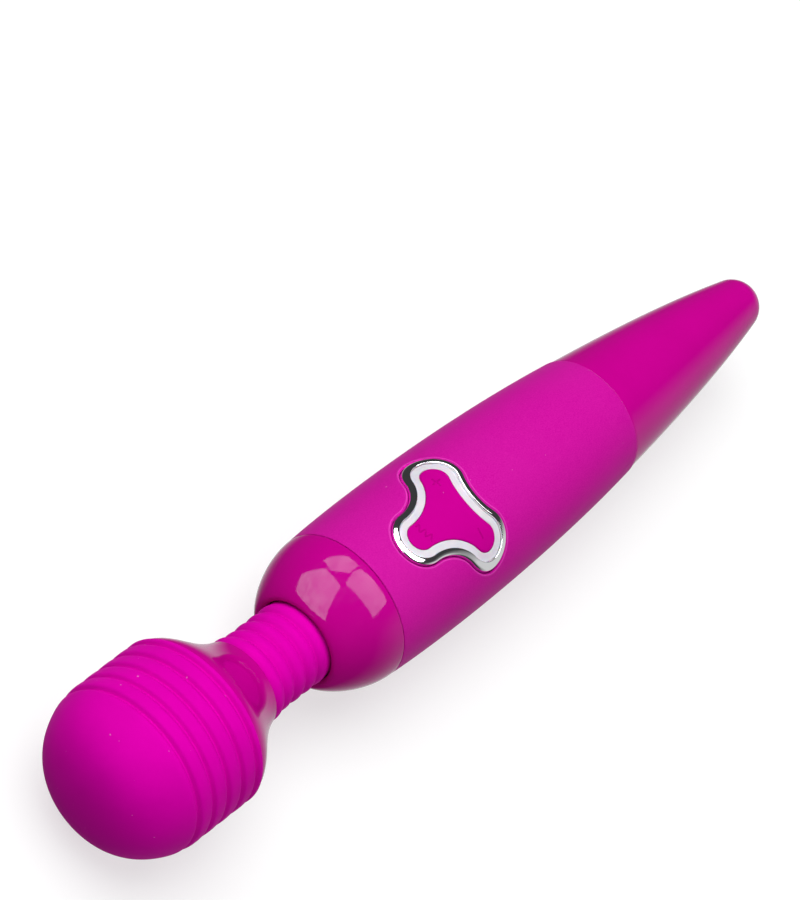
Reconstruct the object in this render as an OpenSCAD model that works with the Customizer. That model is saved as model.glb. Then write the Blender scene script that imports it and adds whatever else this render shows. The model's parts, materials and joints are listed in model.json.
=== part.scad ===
// Cordless wand massager with a sprung neck.
// The wand's own axis runs along X. Stations along it are measured from the seam
// between the front collar and the grip sleeve, and grow towards the tail.
// The finished part has its origin under the middle of the wand, on the surface
// that it lies on, with the keypad facing +Z.

/* [Overall] */
// Distance from the collar seam to the tip of the head
nose_len = 110; // [109.5:0.1:111]
// Distance from the collar seam to the tip of the tail
tail_len = 190; // [189.8:0.1:190.2]

/* [Head] */
// Radius over the ridges of the head
head_r = 27.4; // [27.2:0.1:28]
// Number of grooves around the head
groove_count = 5; // [3:1:5]
// Spacing of the grooves
groove_pitch = 6.0; // [5.9:0.1:6.1]
// Radius of the arc that rounds each ridge
ridge_arc_r = 5.5; // [5:0.1:7]
// Length from the collar seam to the rear edge of the soft cap
cap_end = 64.5; // [64.4:0.1:64.6]
// Radius of the rigid shell inside the soft cap
core_r = 23.6; // [23.4:0.1:23.6]
// Wall of the rigid shell
core_wall = 2; // [1.6:0.1:2]

/* [Motor] */
// Radius of the motor can
can_r = 14; // [13:0.5:14]
// Radius of the motor shaft
shaft_r = 1.5; // [1:0.1:1.5]
// Radial clearance of the shaft in its bushes
shaft_gap = 0.03; // [0.02:0.01:0.08]
// Radius of the eccentric weight
weight_r = 9.5; // [7:0.5:9.5]

/* [Neck] */
// Distance from the collar seam to the rear edge of the head cup
cup_end = 44; // [43.9:0.1:44.1]
// Spacing of the neck ribs
rib_pitch = 4.9; // [4.8:0.1:4.9]
// Radius of the neck over its foremost rib
rib_front_r = 13.9; // [13.5:0.05:14]
// Radius of the neck over the ribs behind it
rib_mid_r = 13.25; // [12.9:0.05:13.4]
// Radius of the arc that rounds each rib
rib_arc_r = 3.2; // [2.9:0.1:3.6]
// Mean radius of the neck spring
spring_r = 8.3; // [8.2:0.05:8.4]
// Radius of the spring wire
spring_wire_r = 0.9; // [0.6:0.1:0.9]
// Turns in the neck spring
spring_turns = 6; // [4:1:7]

/* [Handle] */
// Radius at the collar seam
seam_r = 24; // [23.8:0.1:24.2]
// Radius of the opening that the neck comes out of
mouth_r = 13.2; // [13.1:0.1:13.6]
// Length of the grip sleeve
sleeve_len = 111; // [110.8:0.1:111.2]
// Radius of the grip sleeve at its rear edge
sleeve_end_r = 20.15; // [20.1:0.05:20.4]
// Step down from the grip sleeve to the tail cone
tail_step = 0.3; // [0.1:0.1:0.5]
// Radius of the rounded tail tip
tip_r = 8.5; // [8.3:0.1:8.7]
// Radius inside the front half of the grip sleeve
sleeve_bore_r = 21.6; // [21.6:0.1:21.8]

/* [Keypad] */
// Distance from the collar seam to the middle of the keypad
pad_x = 32.5; // [31.5:0.5:33]
// Distance from the keypad's middle to each lobe's middle
lobe_orbit = 12.45; // [12.3:0.05:12.6]
// Radius of each lobe of the soft pad
lobe_r = 4.15; // [4.05:0.05:4.25]
// Radius of the hollow between two lobes
hollow_r = 17.2; // [16.6:0.2:18]
// Width of the light ring
ring_w = 2.4; // [2.2:0.1:2.6]
// Width of the bright bezel
bezel_w = 2; // [1.8:0.1:2.1]
// Height of the bezel above the sleeve
bezel_rise = 0.8; // [0.4:0.1:1]
// Travel of each key
key_travel = 0.5; // [0.3:0.1:0.6]

/* [Power] */
// Radius of the battery cell
cell_r = 9.2; // [9:0.1:9.2]
// Length of the battery cell
cell_len = 65.2; // [64:0.2:65.2]
// Radius of the charging socket's bore
port_r = 1.8; // [1.2:0.1:1.8]
// Depth of the charging socket's bore
port_depth = 10.5; // [8:0.5:10.5]

/* [Hidden] */

$fn = 96;
gap = 0.05;                       // clearance between pieces that touch
eps = 0.01;                       // overshoot of a cut past a face
mid_x = (tail_len - nose_len) / 2;
axis_z = head_r;                  // the head's ridges lie on the surface

// ---- colours ----
SILICONE = [0.86, 0.00, 0.66];
GLOSS = [0.76, 0.00, 0.52];
MATTE = [0.82, 0.12, 0.62];
LILAC = [0.85, 0.83, 0.89];
BRIGHT = [0.80, 0.81, 0.83];
STEEL = [0.62, 0.63, 0.65];
BRASS = [0.78, 0.63, 0.30];
COPPER = [0.72, 0.42, 0.25];
NYLON = [0.90, 0.89, 0.86];
BLACK = [0.10, 0.10, 0.11];
GREEN = [0.06, 0.36, 0.20];
BLUE = [0.16, 0.34, 0.62];

// ---- helpers ----
// Points along a cubic curve, each point being [station, radius]
function curve(a, b, c, d, n) = [
  for (i = [0 : n])
    let (t = i / n, u = 1 - t)
    u * u * u * a + 3 * u * u * t * b + 3 * u * t * t * c + t * t * t * d
];

// Points over one rounded ridge that starts at station x0 and is cut off at station stop
function ridge(x0, pitch, crest, arc_r, stop) = [
  for (i = [0 : 10])
    let (x = min(pitch * i / 10, stop - x0), dx = x - pitch / 2)
    if (x0 + pitch * (i - 1) / 10 < stop) [x0 + x, crest - arc_r + sqrt(arc_r * arc_r - dx * dx)]
];

// Radius at station x under the rounded front of the head, where the full radius is r
function swell(x, r) = r - 0.028 * pow(max(0, swell_end - x), 2);

function reverse(list) = [for (i = [len(list) - 1 : -1 : 0]) list[i]];

// Places the wand, which is drawn about its own axis, in the part's frame
module place() {
  translate([-mid_x, 0, axis_z]) children();
}

// Turns a flat outline, drawn with stations along X and radii along Y, about the axis
module spin() {
  rotate([0, 90, 0]) rotate_extrude() mirror([1, -1]) children();
}

// Turned ring or rod from station x0 to x1
module tube(x0, x1, r, bore = 0) {
  translate([x0, 0, 0]) rotate([0, 90, 0]) difference() {
    cylinder(h = x1 - x0, r = r);
    if (bore > 0) translate([0, 0, -eps]) cylinder(h = x1 - x0 + 2 * eps, r = bore);
  }
}

// Sealing ring with its middle at radius r
module seal(x, r, wire) {
  translate([x, 0, 0]) rotate([0, 90, 0]) rotate_extrude() translate([r, 0]) circle(r = wire, $fn = 32);
}

// Rod along X at a given place across the axis
module rod_x(x0, x1, y, z, r) {
  translate([x0, y, z]) rotate([0, 90, 0]) cylinder(h = x1 - x0, r = r, $fn = 32);
}

// Wire through a list of points
module wire(points, r) {
  for (i = [0 : len(points) - 2]) {
    let (a = points[i], v = points[i + 1] - a, l = norm(v))
      translate(a) rotate([0, acos(v[2] / l), atan2(v[1], v[0])]) cylinder(h = l, r = r, $fn = 24);
  }
  for (p = points) translate(p) sphere(r = r, $fn = 24);
}

// Box from one corner to the other
module block(a, b) {
  translate(a) cube(b - a);
}

// Three-lobed keypad outline, a distance d outside the edge of the soft pad
module trilobe(d) {
  r = lobe_r + d;
  hollow = hollow_r - d;
  hollow_dist = lobe_orbit / 2 + sqrt(pow(r + hollow, 2) - 0.75 * lobe_orbit * lobe_orbit);
  translate([pad_x, 0]) {
    for (a = [60, 180, 300]) rotate(a) translate([lobe_orbit, 0]) circle(r = r);
    difference() {
      polygon([
        for (i = [0 : 2])
          let (lobe = 60 + 120 * i, side = 120 + 120 * i)
          each [
            lobe_orbit * [cos(lobe), sin(lobe)],
            hollow_dist * [cos(side), sin(side)]
          ]
      ]);
      for (a = [0, 120, 240]) rotate(a) translate([hollow_dist, 0]) circle(r = hollow);
    }
  }
}

// Upright prism over the keypad outline, hollow inside the outline at inner
module pad_prism(d, inner = -1) {
  linear_extrude(height = 40) difference() {
    trilobe(d);
    if (inner >= 0) trilobe(inner);
  }
}

// Solid bounded by the sleeve's outer surface raised by rise, near the keypad
module barrel(rise) {
  spin() polygon(concat([[0, 0]], [for (p = sleeve_curve) if (p[0] < 70) p + [0, rise]], [[66, 0]]));
}

// Middle of each lobe
LOBES = [for (a = [180, 60, -60]) [pad_x + lobe_orbit * cos(a), lobe_orbit * sin(a)]];

// ---- outlines shared by several pieces ----
groove_last = 66.7;               // station of the rearmost head groove, towards the nose
first_groove = -groove_last - (groove_count - 1) * groove_pitch;
swell_end = first_groove + groove_pitch / 2;
dome_end = first_groove - groove_pitch / 2;
dome_rear = [dome_end, swell(dome_end, head_r)];
dome_curve = curve([-nose_len, 0], [-nose_len, 14.3], [-105.1, 22.4], dome_rear, 16);
core_curve = curve([-107.2, 0], [-107.2, 11.6], [-103.6, 20], [-94, core_r - 0.5], 12);
core_inner_curve = curve([-94, core_r - core_wall - 0.6], [-102, 18.2], [-104.8, 10.5], [-104.8, 0], 12);
cup_curve = curve([-cap_end + 0.1, 26.9], [-60, 26.6], [-53.5, 17], [-cup_end, 14.2], 20);
cup_inner_curve = curve([-50, 12], [-54.5, 15.5], [-57.5, 22.5], [-60.2, 22.5], 12);
lip_r = 1.3;                      // rounding of the collar's mouth
lip_x = -18.9;                    // middle of that rounding
lip_end = 150;                    // angle at which the rounding meets the collar's outside
lip_arc = [for (a = [270 : -12 : lip_end + 1]) [lip_x + lip_r * cos(a), mouth_r + lip_r + lip_r * sin(a)]];
lip_join = [lip_x + lip_r * cos(lip_end), mouth_r + lip_r + lip_r * sin(lip_end)];
collar_curve = curve(lip_join, [-18.6, 17.8], [-9.3, 23.8], [0, seam_r], 20);
sleeve_curve = curve([0.2, seam_r], [22, 25.5], [70, 25.2], [sleeve_len, sleeve_end_r], 28);
port_hole_r = 3.2 + gap;          // opening in the tail tip, around the charging socket
tip_x = tail_len - sqrt(tip_r * tip_r - port_hole_r * port_hole_r);  // middle of the round tip
tip_lean = 13.8;                  // angle at which the cone meets the rounded tip
tail_start_r = sleeve_end_r - tail_step;
tail_join = [tip_x + tip_r * sin(tip_lean), tip_r * cos(tip_lean)];
tail_curve = curve([sleeve_len + 0.1, tail_start_r], [134.5, 17.2], [161.5, 13.55], tail_join, 20);
core_end = -60.6;                 // rear edge of the rigid head shell
spigot_x = 8;                     // how far the collar reaches into the sleeve
tail_spigot_x = 105;              // how far the tail reaches into the sleeve
cell_z = -5;                      // the cell lies below the wand's axis
cell_x = 21;
board_z = 12;                     // underside of the control board
board_t = 1.6;
board_top = board_z + board_t;
deck_z = 7;                       // underside of the upper chassis deck
deck_t = 1.6;
chassis_r = 17.8;
split_z = -4.6;                   // plane where the chassis halves meet
chassis_x = [9, 103];
chassis_screw_y = 12.4;
boss_z = -11.5;                   // underside of the lower chassis screw bosses
CHASSIS_SCREWS_X = [14, 96];
BOARD_SCREWS_X = [12.5, 59.5];
board_screw_y = 11.5;
switch_h = 3.4;
stem_r = 1.7;
stem_reach = 0.4;                 // how far a stem reaches into its switch
key_base = 19;                    // height of the underside of each key
key_r = 3.4;
port_x = 189.2;                   // mouth of the charging socket

// ---- head ----
module head_cap() {
  ridges = [
    for (k = [-1 : groove_count - 1])
      for (p = ridge(first_groove + k * groove_pitch, groove_pitch, head_r, ridge_arc_r, -cap_end))
        if (p[0] > dome_end + eps) [p[0], swell(p[0], p[1])]
  ];
  cavity = [for (p = reverse(core_curve)) [p[0] - gap, p[1] + (p[1] > 0 ? gap : 0)]];
  color(SILICONE) place() spin() polygon(concat(
    dome_curve, ridges, [[-cap_end, core_r + gap], [-92, core_r + gap]], cavity
  ));
}

module head_core() {
  color(NYLON) place() difference() {
    union() {
      spin() polygon(concat(
        core_curve,
        [[-92, core_r], [core_end, core_r], [core_end, core_r - core_wall], [-92, core_r - core_wall]],
        core_inner_curve
      ));
      // ring that steadies the front of the motor
      tube(-92, -90, core_r - core_wall + 0.2, can_r + gap);
      // bosses for the bracket screws
      for (a = [0, 120, 240]) rotate([a, 0, 0]) rod_x(-84, -68, 0, 19, 3);
    }
    for (a = [0, 120, 240]) rotate([a, 0, 0]) rod_x(-80, -67, 0, 19, 1.25);
    // groove for the head seal
    tube(-63.4, -61.8, core_r + 1, 22.2);
  }
}

module head_cup() {
  color(GLOSS) place() spin() polygon(concat(
    cup_curve, [[-cup_end, 10 + gap], [-50, 10 + gap]], cup_inner_curve,
    [[-60.2, core_r + 0.1], [-cap_end + 0.1, core_r + 0.1]]
  ));
}

module head_seal() {
  color(BLACK) place() seal(-62.6, 22.95, 0.7);
}

// ---- motor ----
module motor_can() {
  color(STEEL) place() difference() {
    tube(-95, -65, can_r);
    tube(-93.5, -64, can_r - 1.2);
    tube(-96, -93, 2.5 + gap);
  }
}

module motor_magnets() {
  color(BLACK) place() difference() {
    tube(-90, -70, can_r - 1.25, 10.6);
    block([-91, -4, -15], [-69, 4, 15]);
  }
}

module motor_end_cap() {
  color(NYLON) place() difference() {
    union() {
      tube(-64.95, -61, can_r);
      tube(-66, -64.9, can_r - 1.3);
    }
    tube(-67, -60, 2.5 + gap);
  }
}

module bush(x0, x1) {
  color(BRASS) place() tube(x0, x1, 2.5, shaft_r + shaft_gap);
}

module motor_front_bush() {
  bush(-96.5, -92.5);
}

module motor_rear_bush() {
  bush(-64.5, -61.5);
}

module motor_brushes() {
  color(BLACK) place() for (s = [-1, 1]) {
    translate([-67.5, s * 4.8, 0]) cube([2.4, 3, 2], center = true);
  }
}

module motor_shaft() {
  color(STEEL) place() tube(-103, -61.2, shaft_r);
}

module armature_stack() {
  color(STEEL) place() difference() {
    tube(-88, -72, 10, shaft_r + gap);
    for (a = [30, 150, 270]) rotate([a, 0, 0]) block([-89, -1.2, 4], [-71, 1.2, 11]);
  }
}

module armature_windings() {
  color(COPPER) place() {
    tube(-90.5, -88 - gap, 8.5, 3);
    tube(-72 + gap, -69.5, 8.5, 3.5);
    for (a = [30, 150, 270]) rotate([a, 0, 0]) {
      block([-88.2, -1.1, 4.2], [-71.8, 1.1, 8.4]);
    }
  }
}

module commutator() {
  color(BRASS) place() tube(-69.3, -66.2, 3.2, shaft_r + gap);
}

module eccentric_weight() {
  color(BRASS) place() difference() {
    union() {
      tube(-102.6, -97.2, 3.5);
      intersection() {
        tube(-102.6, -97.2, weight_r);
        block([-103, -weight_r, -weight_r], [-97, weight_r, 0]);
      }
    }
    tube(-103, -97, shaft_r + gap);
  }
}

module motor_bracket() {
  color(STEEL) place() difference() {
    tube(-67.9, -65.9, 21.4, can_r + gap);
    for (a = [0, 120, 240]) rotate([a, 0, 0]) rod_x(-69, -65, 0, 19, 1.3);
  }
}

module bracket_screws() {
  color(STEEL) place() for (a = [0, 120, 240]) rotate([a, 0, 0]) {
    rod_x(-78, -65.8, 0, 19, 1.2);
    rod_x(-65.85, -64.3, 0, 19, 2.3);
  }
}

// ---- neck ----
module neck_front_plug() {
  color(NYLON) place() difference() {
    union() {
      tube(-53.5, -50.1, 11.8);
      tube(-50.2, -40, 9.95);
      tube(-40.1, -37.5, 7.2);
    }
    tube(-54, -37, 3.5);
  }
}

module neck_sleeve() {
  rib_x0 = -cup_end + 0.1;
  crests = [rib_front_r, rib_mid_r, rib_mid_r, rib_mid_r, rib_mid_r, rib_mid_r - 0.65];
  rib_count = len(crests);
  ribs = [
    for (k = [0 : rib_count - 1])
      each ridge(rib_x0 + k * rib_pitch, rib_pitch, crests[k], rib_arc_r, 0)
  ];
  rear_r = rib_mid_r - 1.9;
  color(SILICONE) place() difference() {
    spin() polygon(concat(
      [[rib_x0, 10]], ribs,
      [[rib_x0 + rib_count * rib_pitch, rear_r], [-12, rear_r], [-12, 16.5], [-9.05, 16.5], [-9.05, 10]]
    ));
    for (a = [0, 120, 240]) rotate([a, 0, 0]) rod_x(-13, -8, 0, 15.2, 1.2);
  }
}

// Round wire wound into a coil, as rings of points joined by faces
module neck_spring() {
  sides = 8;
  steps = spring_turns * 20;
  x0 = -39.9 + spring_wire_r;
  x1 = -18.1 - spring_wire_r;
  points = [
    for (i = [0 : steps], j = [0 : sides - 1])
      let (turn = 360 * spring_turns * i / steps, a = 360 * j / sides, r = spring_r + spring_wire_r * cos(a))
      [x0 + (x1 - x0) * i / steps + spring_wire_r * sin(a), r * cos(turn), r * sin(turn)]
  ];
  side_faces = [
    for (i = [0 : steps - 1], j = [0 : sides - 1])
      let (k = (j + 1) % sides)
      [i * sides + j, i * sides + k, (i + 1) * sides + k, (i + 1) * sides + j]
  ];
  start = [for (j = [0 : sides - 1]) sides - 1 - j];
  finish = [for (j = [0 : sides - 1]) steps * sides + j];
  color(STEEL) place() polyhedron(points, concat(side_faces, [start, finish]));
}

module neck_guide_ring() {
  color(NYLON) place() tube(-30.6, -27.6, 7.1, 3.5);
}

module motor_leads() {
  color(BLACK) place() for (s = [-1, 1]) {
    wire([[-60.2, s * 1.8, 0], [-2, s * 1.8, 0], [6, s * 1.8, 11.3], [11, s * 1.8, 11.3]], 0.7);
  }
}

module neck_rear_plug() {
  color(NYLON) place() difference() {
    union() {
      tube(-20.5, -17.9, 7.2);
      tube(-18, -8.9, 9.95);
      tube(-9, -4, 17);
    }
    tube(-21, -3, 3.5);
    for (a = [0, 120, 240]) rotate([a, 0, 0]) rod_x(-10, -3, 0, 15.2, 1.2);
  }
}

module collar_screws() {
  color(STEEL) place() for (a = [0, 120, 240]) rotate([a, 0, 0]) {
    rod_x(-16, -3.9, 0, 15.2, 1.1);
    rod_x(-3.95, -2.5, 0, 15.2, 1.8);
  }
}

// ---- handle shells ----
module front_collar() {
  color(GLOSS) place() difference() {
    spin() polygon(concat(collar_curve, [
      [0, sleeve_bore_r - 0.1], [spigot_x, sleeve_bore_r - 0.1], [spigot_x, 19.4],
      [-4, 19.4], [-4, 17.2], [-12.1, 17.2], [-12.1, mouth_r]
    ], lip_arc));
    for (a = [0, 120, 240]) rotate([a, 0, 0]) rod_x(-16.2, -11, 0, 15.2, 1.15);
    tube(3.2, 4.8, 22, 20.1);
  }
}

module collar_seal() {
  color(BLACK) place() seal(4, 20.85, 0.7);
}

module grip_sleeve() {
  color(MATTE) place() difference() {
    spin() polygon(concat(sleeve_curve, [
      [sleeve_len, 18], [60, sleeve_bore_r], [0.2, sleeve_bore_r]
    ]));
    pad_prism(ring_w + bezel_w + 0.15);
  }
}

module tail_cone() {
  tip_arc = [for (a = [90 - tip_lean : -8 : 0]) [tip_x + tip_r * cos(a), tip_r * sin(a)]];
  cavity_curve = curve([sleeve_len, 15.4], [134.5, 14.8], [158, 11], [174, 7.9], 14);
  color(GLOSS) place() difference() {
    spin() difference() {
      polygon(concat(
        [[tail_spigot_x, 0], [tail_spigot_x, 17.5], [sleeve_len + 0.1, 17.5]],
        tail_curve, tip_arc, [[tip_x + tip_r, 0]]
      ));
      polygon(concat([[100, 0], [100, 15.4]], cavity_curve, [[174, 0]]));
    }
    tube(173, 192, port_hole_r);
    tube(107.2, 108.8, 19, 16.5);
  }
}

module tail_seal() {
  color(BLACK) place() seal(108, 17.25, 0.7);
}

// ---- chassis and battery ----
module chassis_lower() {
  color(NYLON) place() difference() {
    union() {
      intersection() {
        union() {
          tube(chassis_x[0], chassis_x[1], chassis_r, chassis_r - 2);
          for (x = [chassis_x[0], 18, 41, 64, cell_x + cell_len + 1, chassis_x[1] - 2]) {
            tube(x, x + 2, chassis_r - 1);
          }
        }
        block([0, -20, -20], [110, 20, split_z]);
      }
      intersection() {
        tube(chassis_x[0], chassis_x[1], chassis_r);
        for (x = CHASSIS_SCREWS_X, s = [-1, 1]) {
          translate([x, s * chassis_screw_y, boss_z]) cylinder(h = split_z - boss_z, r = 2.8, $fn = 32);
        }
      }
    }
    tube_cell(cell_r + 0.2, cell_x - 1, cell_x + cell_len + 1);
    for (x = CHASSIS_SCREWS_X, s = [-1, 1]) {
      translate([x, s * chassis_screw_y, boss_z + 2]) cylinder(h = 10, r = 1.05, $fn = 32);
    }
  }
}

// Rod on the battery's own axis
module tube_cell(r, x0, x1) {
  rod_x(x0, x1, 0, cell_z, r);
}

module chassis_upper() {
  color(NYLON) place() difference() {
    union() {
      intersection() {
        union() {
          block([chassis_x[0], -17.5, deck_z], [chassis_x[1], 17.5, deck_z + deck_t]);
          for (s = [-1, 1]) {
            block([chassis_x[0], s * 15.5 - 1, split_z + gap], [chassis_x[1], s * 15.5 + 1, deck_z + 0.1]);
            for (x = CHASSIS_SCREWS_X) {
              block([x - 4, s * 13 - 3, split_z + gap], [x + 4, s * 13 + 3, split_z + 2]);
            }
          }
        }
        tube(chassis_x[0], chassis_x[1], chassis_r);
      }
      for (x = BOARD_SCREWS_X, s = [-1, 1]) {
        translate([x, s * board_screw_y, deck_z + 1]) cylinder(h = board_z - deck_z - 1, r = 2.2, $fn = 32);
      }
    }
    for (x = CHASSIS_SCREWS_X, s = [-1, 1]) {
      translate([x, s * chassis_screw_y, split_z - 1]) cylinder(h = 4, r = 1.2, $fn = 32);
    }
    for (x = BOARD_SCREWS_X, s = [-1, 1]) {
      translate([x, s * board_screw_y, deck_z + 2]) cylinder(h = 5, r = 1.05, $fn = 32);
    }
    block([64.5, -8, deck_z - 1], [67.5, 8, deck_z + deck_t + 1]);
  }
}

// Upright screw, its head resting at height z
module screw_z(x, y, z, r, head, length) {
  translate([x, y, z - length]) cylinder(h = length + 0.1, r = r, $fn = 32);
  translate([x, y, z]) cylinder(h = 1.3, r = head, $fn = 32);
}

module chassis_screws() {
  color(STEEL) place() for (x = CHASSIS_SCREWS_X, s = [-1, 1]) {
    screw_z(x, s * chassis_screw_y, split_z + 2, 1, 1.9, 6.6);
  }
}

module battery_cell() {
  color(BLUE) place() {
    tube_cell(cell_r, cell_x, cell_x + cell_len);
    tube_cell(3, cell_x - 0.7, cell_x + 0.1);
  }
}

module battery_tabs() {
  color(STEEL) place() {
    block([cell_x - 0.98, -4, -8], [cell_x - 0.72, 4, 6.5]);
    block([cell_x + cell_len + 0.02, -4, -8], [cell_x + cell_len + 0.3, 4, 6.5]);
  }
}

module battery_leads() {
  color("red") place() {
    wire([[cell_x + 0.1, 3, 5.6], [66, 3, 5.6], [66, 3, 11.4], [60.5, 3, 11.4]], 0.6);
    wire([[cell_x + cell_len - 0.7, -3, 5.6], [66, -3, 5.6], [66, -3, 11.4], [60.5, -3, 11.4]], 0.6);
  }
}

// ---- electronics ----
module control_board() {
  color(GREEN) place() difference() {
    block([9.5, -14, board_z], [62.5, 14, board_top]);
    for (x = BOARD_SCREWS_X, s = [-1, 1]) {
      translate([x, s * board_screw_y, board_z - 1]) cylinder(h = 4, r = 1.1, $fn = 32);
    }
  }
}

module board_screws() {
  color(STEEL) place() for (x = BOARD_SCREWS_X, s = [-1, 1]) {
    screw_z(x, s * board_screw_y, board_top, 1, 1.9, 4.2);
  }
}

module controller_chip() {
  color(BLACK) place() block([44, -3.5, board_z - 1.2], [51, 3.5, board_z]);
}

module tact_switches() {
  color(BLACK) place() for (p = LOBES) translate([p[0], p[1], board_top]) difference() {
    translate([-3, -3, 0]) cube([6, 6, switch_h]);
    translate([0, 0, switch_h - stem_reach - key_travel - 0.3]) {
      cylinder(h = 2, r = stem_r + 0.1, $fn = 32);
    }
  }
}

module ring_leds() {
  spots = [[14.4, 0], [27.8, 7.6], [27.8, -7.6], [41.1, 0], [43.6, 12.4], [43.6, -12.4]];
  color("white") place() for (p = spots) translate([p[0] - 1, p[1] - 1, board_top]) cube([2, 2, 1]);
}

// ---- keypad ----
// Piece of the keypad between two outlines and two heights over the barrel
module pad_band(outer, inner, floor_r, rise) {
  intersection() {
    pad_prism(outer, inner);
    difference() {
      barrel(rise);
      tube(-1, 70, floor_r);
    }
  }
}

module light_ring() {
  color(LILAC) place() pad_band(ring_w - 0.2, gap, sleeve_bore_r, 0.15);
}

module control_bezel() {
  color(BRIGHT) place() {
    pad_band(ring_w + bezel_w, ring_w, sleeve_bore_r - 0.15, bezel_rise);
    intersection() {
      pad_prism(ring_w + bezel_w + 0.7, ring_w);
      tube(1, 66, sleeve_bore_r - 0.1, sleeve_bore_r - 1);
    }
  }
}

module button_pad() {
  color(SILICONE) place() difference() {
    pad_band(0, -1, 22.2, 0.35);
    for (p = LOBES) translate([p[0], p[1], 10]) cylinder(h = 20, r = key_r + 0.1);
  }
}

module key(i) {
  color(SILICONE) place() intersection() {
    translate([LOBES[i][0], LOBES[i][1], key_base]) cylinder(h = 10, r = key_r);
    barrel(0.4);
  }
}

module stem(i) {
  stem_z = board_top + switch_h - stem_reach;
  color(NYLON) place() translate([LOBES[i][0], LOBES[i][1], stem_z]) {
    cylinder(h = key_base - stem_z, r = stem_r, $fn = 32);
  }
}

module mode_key() { key(0); }
module plus_key() { key(1); }
module minus_key() { key(2); }
module mode_stem() { stem(0); }
module plus_stem() { stem(1); }
module minus_stem() { stem(2); }

// ---- charging ----
module charge_jack() {
  color(BLACK) place() difference() {
    union() {
      tube(173.9, port_x, 3.2);
      block([166, -3.5, -3.2], [174, 3.5, 3.4]);
    }
    tube(port_x - port_depth, port_x + 1, port_r);
  }
}

module charge_board() {
  color(GREEN) place() block([148, -5.5, -4.4], [173.5, 5.5, -3.2]);
}

module charge_chip() {
  color(BLACK) place() block([156, -2, -3.2], [160, 2, -2]);
}

module jack_leads() {
  color("red") place() for (s = [-1, 1]) wire([
    [152, s * 5, -2.6], [146, s * 5, -2.6], [146, s * 5, 5.6],
    [66, s * 5, 5.6], [66, s * 5, 11.4], [60.5, s * 5, 11.4]
  ], 0.6);
}

head_cap();
head_core();
head_cup();
head_seal();
motor_can();
motor_magnets();
motor_end_cap();
motor_front_bush();
motor_rear_bush();
motor_brushes();
motor_shaft();
armature_stack();
armature_windings();
commutator();
eccentric_weight();
motor_bracket();
bracket_screws();
neck_front_plug();
neck_sleeve();
neck_spring();
neck_guide_ring();
motor_leads();
neck_rear_plug();
collar_screws();
front_collar();
collar_seal();
grip_sleeve();
tail_cone();
tail_seal();
chassis_lower();
chassis_upper();
chassis_screws();
battery_cell();
battery_tabs();
battery_leads();
control_board();
board_screws();
controller_chip();
tact_switches();
ring_leds();
light_ring();
control_bezel();
button_pad();
plus_key();
minus_key();
mode_key();
plus_stem();
minus_stem();
mode_stem();
charge_jack();
charge_board();
charge_chip();
jack_leads();
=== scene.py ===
import json
import math

import bpy
import bmesh
import numpy as np
from mathutils import Matrix, Vector


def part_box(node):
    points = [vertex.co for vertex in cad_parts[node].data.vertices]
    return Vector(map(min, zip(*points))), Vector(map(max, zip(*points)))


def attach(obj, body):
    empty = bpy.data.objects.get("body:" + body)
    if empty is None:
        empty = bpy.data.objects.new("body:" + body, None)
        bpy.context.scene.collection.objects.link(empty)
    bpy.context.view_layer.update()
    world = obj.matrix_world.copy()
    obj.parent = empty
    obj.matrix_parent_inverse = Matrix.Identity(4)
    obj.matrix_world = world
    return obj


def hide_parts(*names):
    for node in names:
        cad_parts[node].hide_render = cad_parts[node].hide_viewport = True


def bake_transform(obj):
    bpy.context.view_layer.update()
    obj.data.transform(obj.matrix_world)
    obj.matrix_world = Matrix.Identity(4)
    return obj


# Looks of the handheld wand massager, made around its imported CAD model.
# Shapes are worked out in millimetres. A station is a distance along the wand's axis
# from the seam between the front collar and the grip sleeve, and grows to the tail.
# A point is [station, across, height above the axis].

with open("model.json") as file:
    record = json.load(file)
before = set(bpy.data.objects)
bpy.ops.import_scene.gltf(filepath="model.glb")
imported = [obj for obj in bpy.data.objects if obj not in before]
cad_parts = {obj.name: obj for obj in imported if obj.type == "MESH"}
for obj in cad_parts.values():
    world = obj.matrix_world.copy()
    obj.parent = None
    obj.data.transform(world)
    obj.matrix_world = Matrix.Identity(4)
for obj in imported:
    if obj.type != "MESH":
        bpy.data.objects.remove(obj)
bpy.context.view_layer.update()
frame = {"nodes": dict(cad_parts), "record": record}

MM = 0.001
SEAM_GAP = 0.2                       # between the front collar and the grip sleeve
sleeve_low, sleeve_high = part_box("grip_sleeve")
cap_low, cap_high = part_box("head_cap")
SEAM_X = sleeve_low[0] / MM - SEAM_GAP
AXIS_Z = (cap_low[2] + cap_high[2]) / 2 / MM
HEAD_R = (cap_high[2] - cap_low[2]) / 2 / MM
NOSE = cap_low[0] / MM - SEAM_X
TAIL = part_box("tail_cone")[1][0] / MM - SEAM_X
SLEEVE_END = sleeve_high[0] / MM - SEAM_X
TURN_STEPS = 192                     # facets round the wand


# ---- mesh helpers ----

def place(points):
    """Metres in the shared frame, from points in millimetres about the wand's axis."""
    return (np.asarray(points, float).reshape(-1, 3) + [SEAM_X, 0, AXIS_Z]) * MM


def mesh_object(name, points, faces, sharp=38):
    """Closed mesh object with outward normals, smooth except across edges over sharp degrees."""
    mesh = bpy.data.meshes.new(name)
    mesh.from_pydata([tuple(p) for p in place(points)], [], faces)
    work = bmesh.new()
    work.from_mesh(mesh)
    bmesh.ops.recalc_face_normals(work, faces=work.faces)
    work.to_mesh(mesh)
    work.free()
    mesh.shade_smooth()
    mesh.set_sharp_from_angle(angle=math.radians(sharp))
    obj = bpy.data.objects.new(name, mesh)
    bpy.context.scene.collection.objects.link(obj)
    return obj


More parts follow.
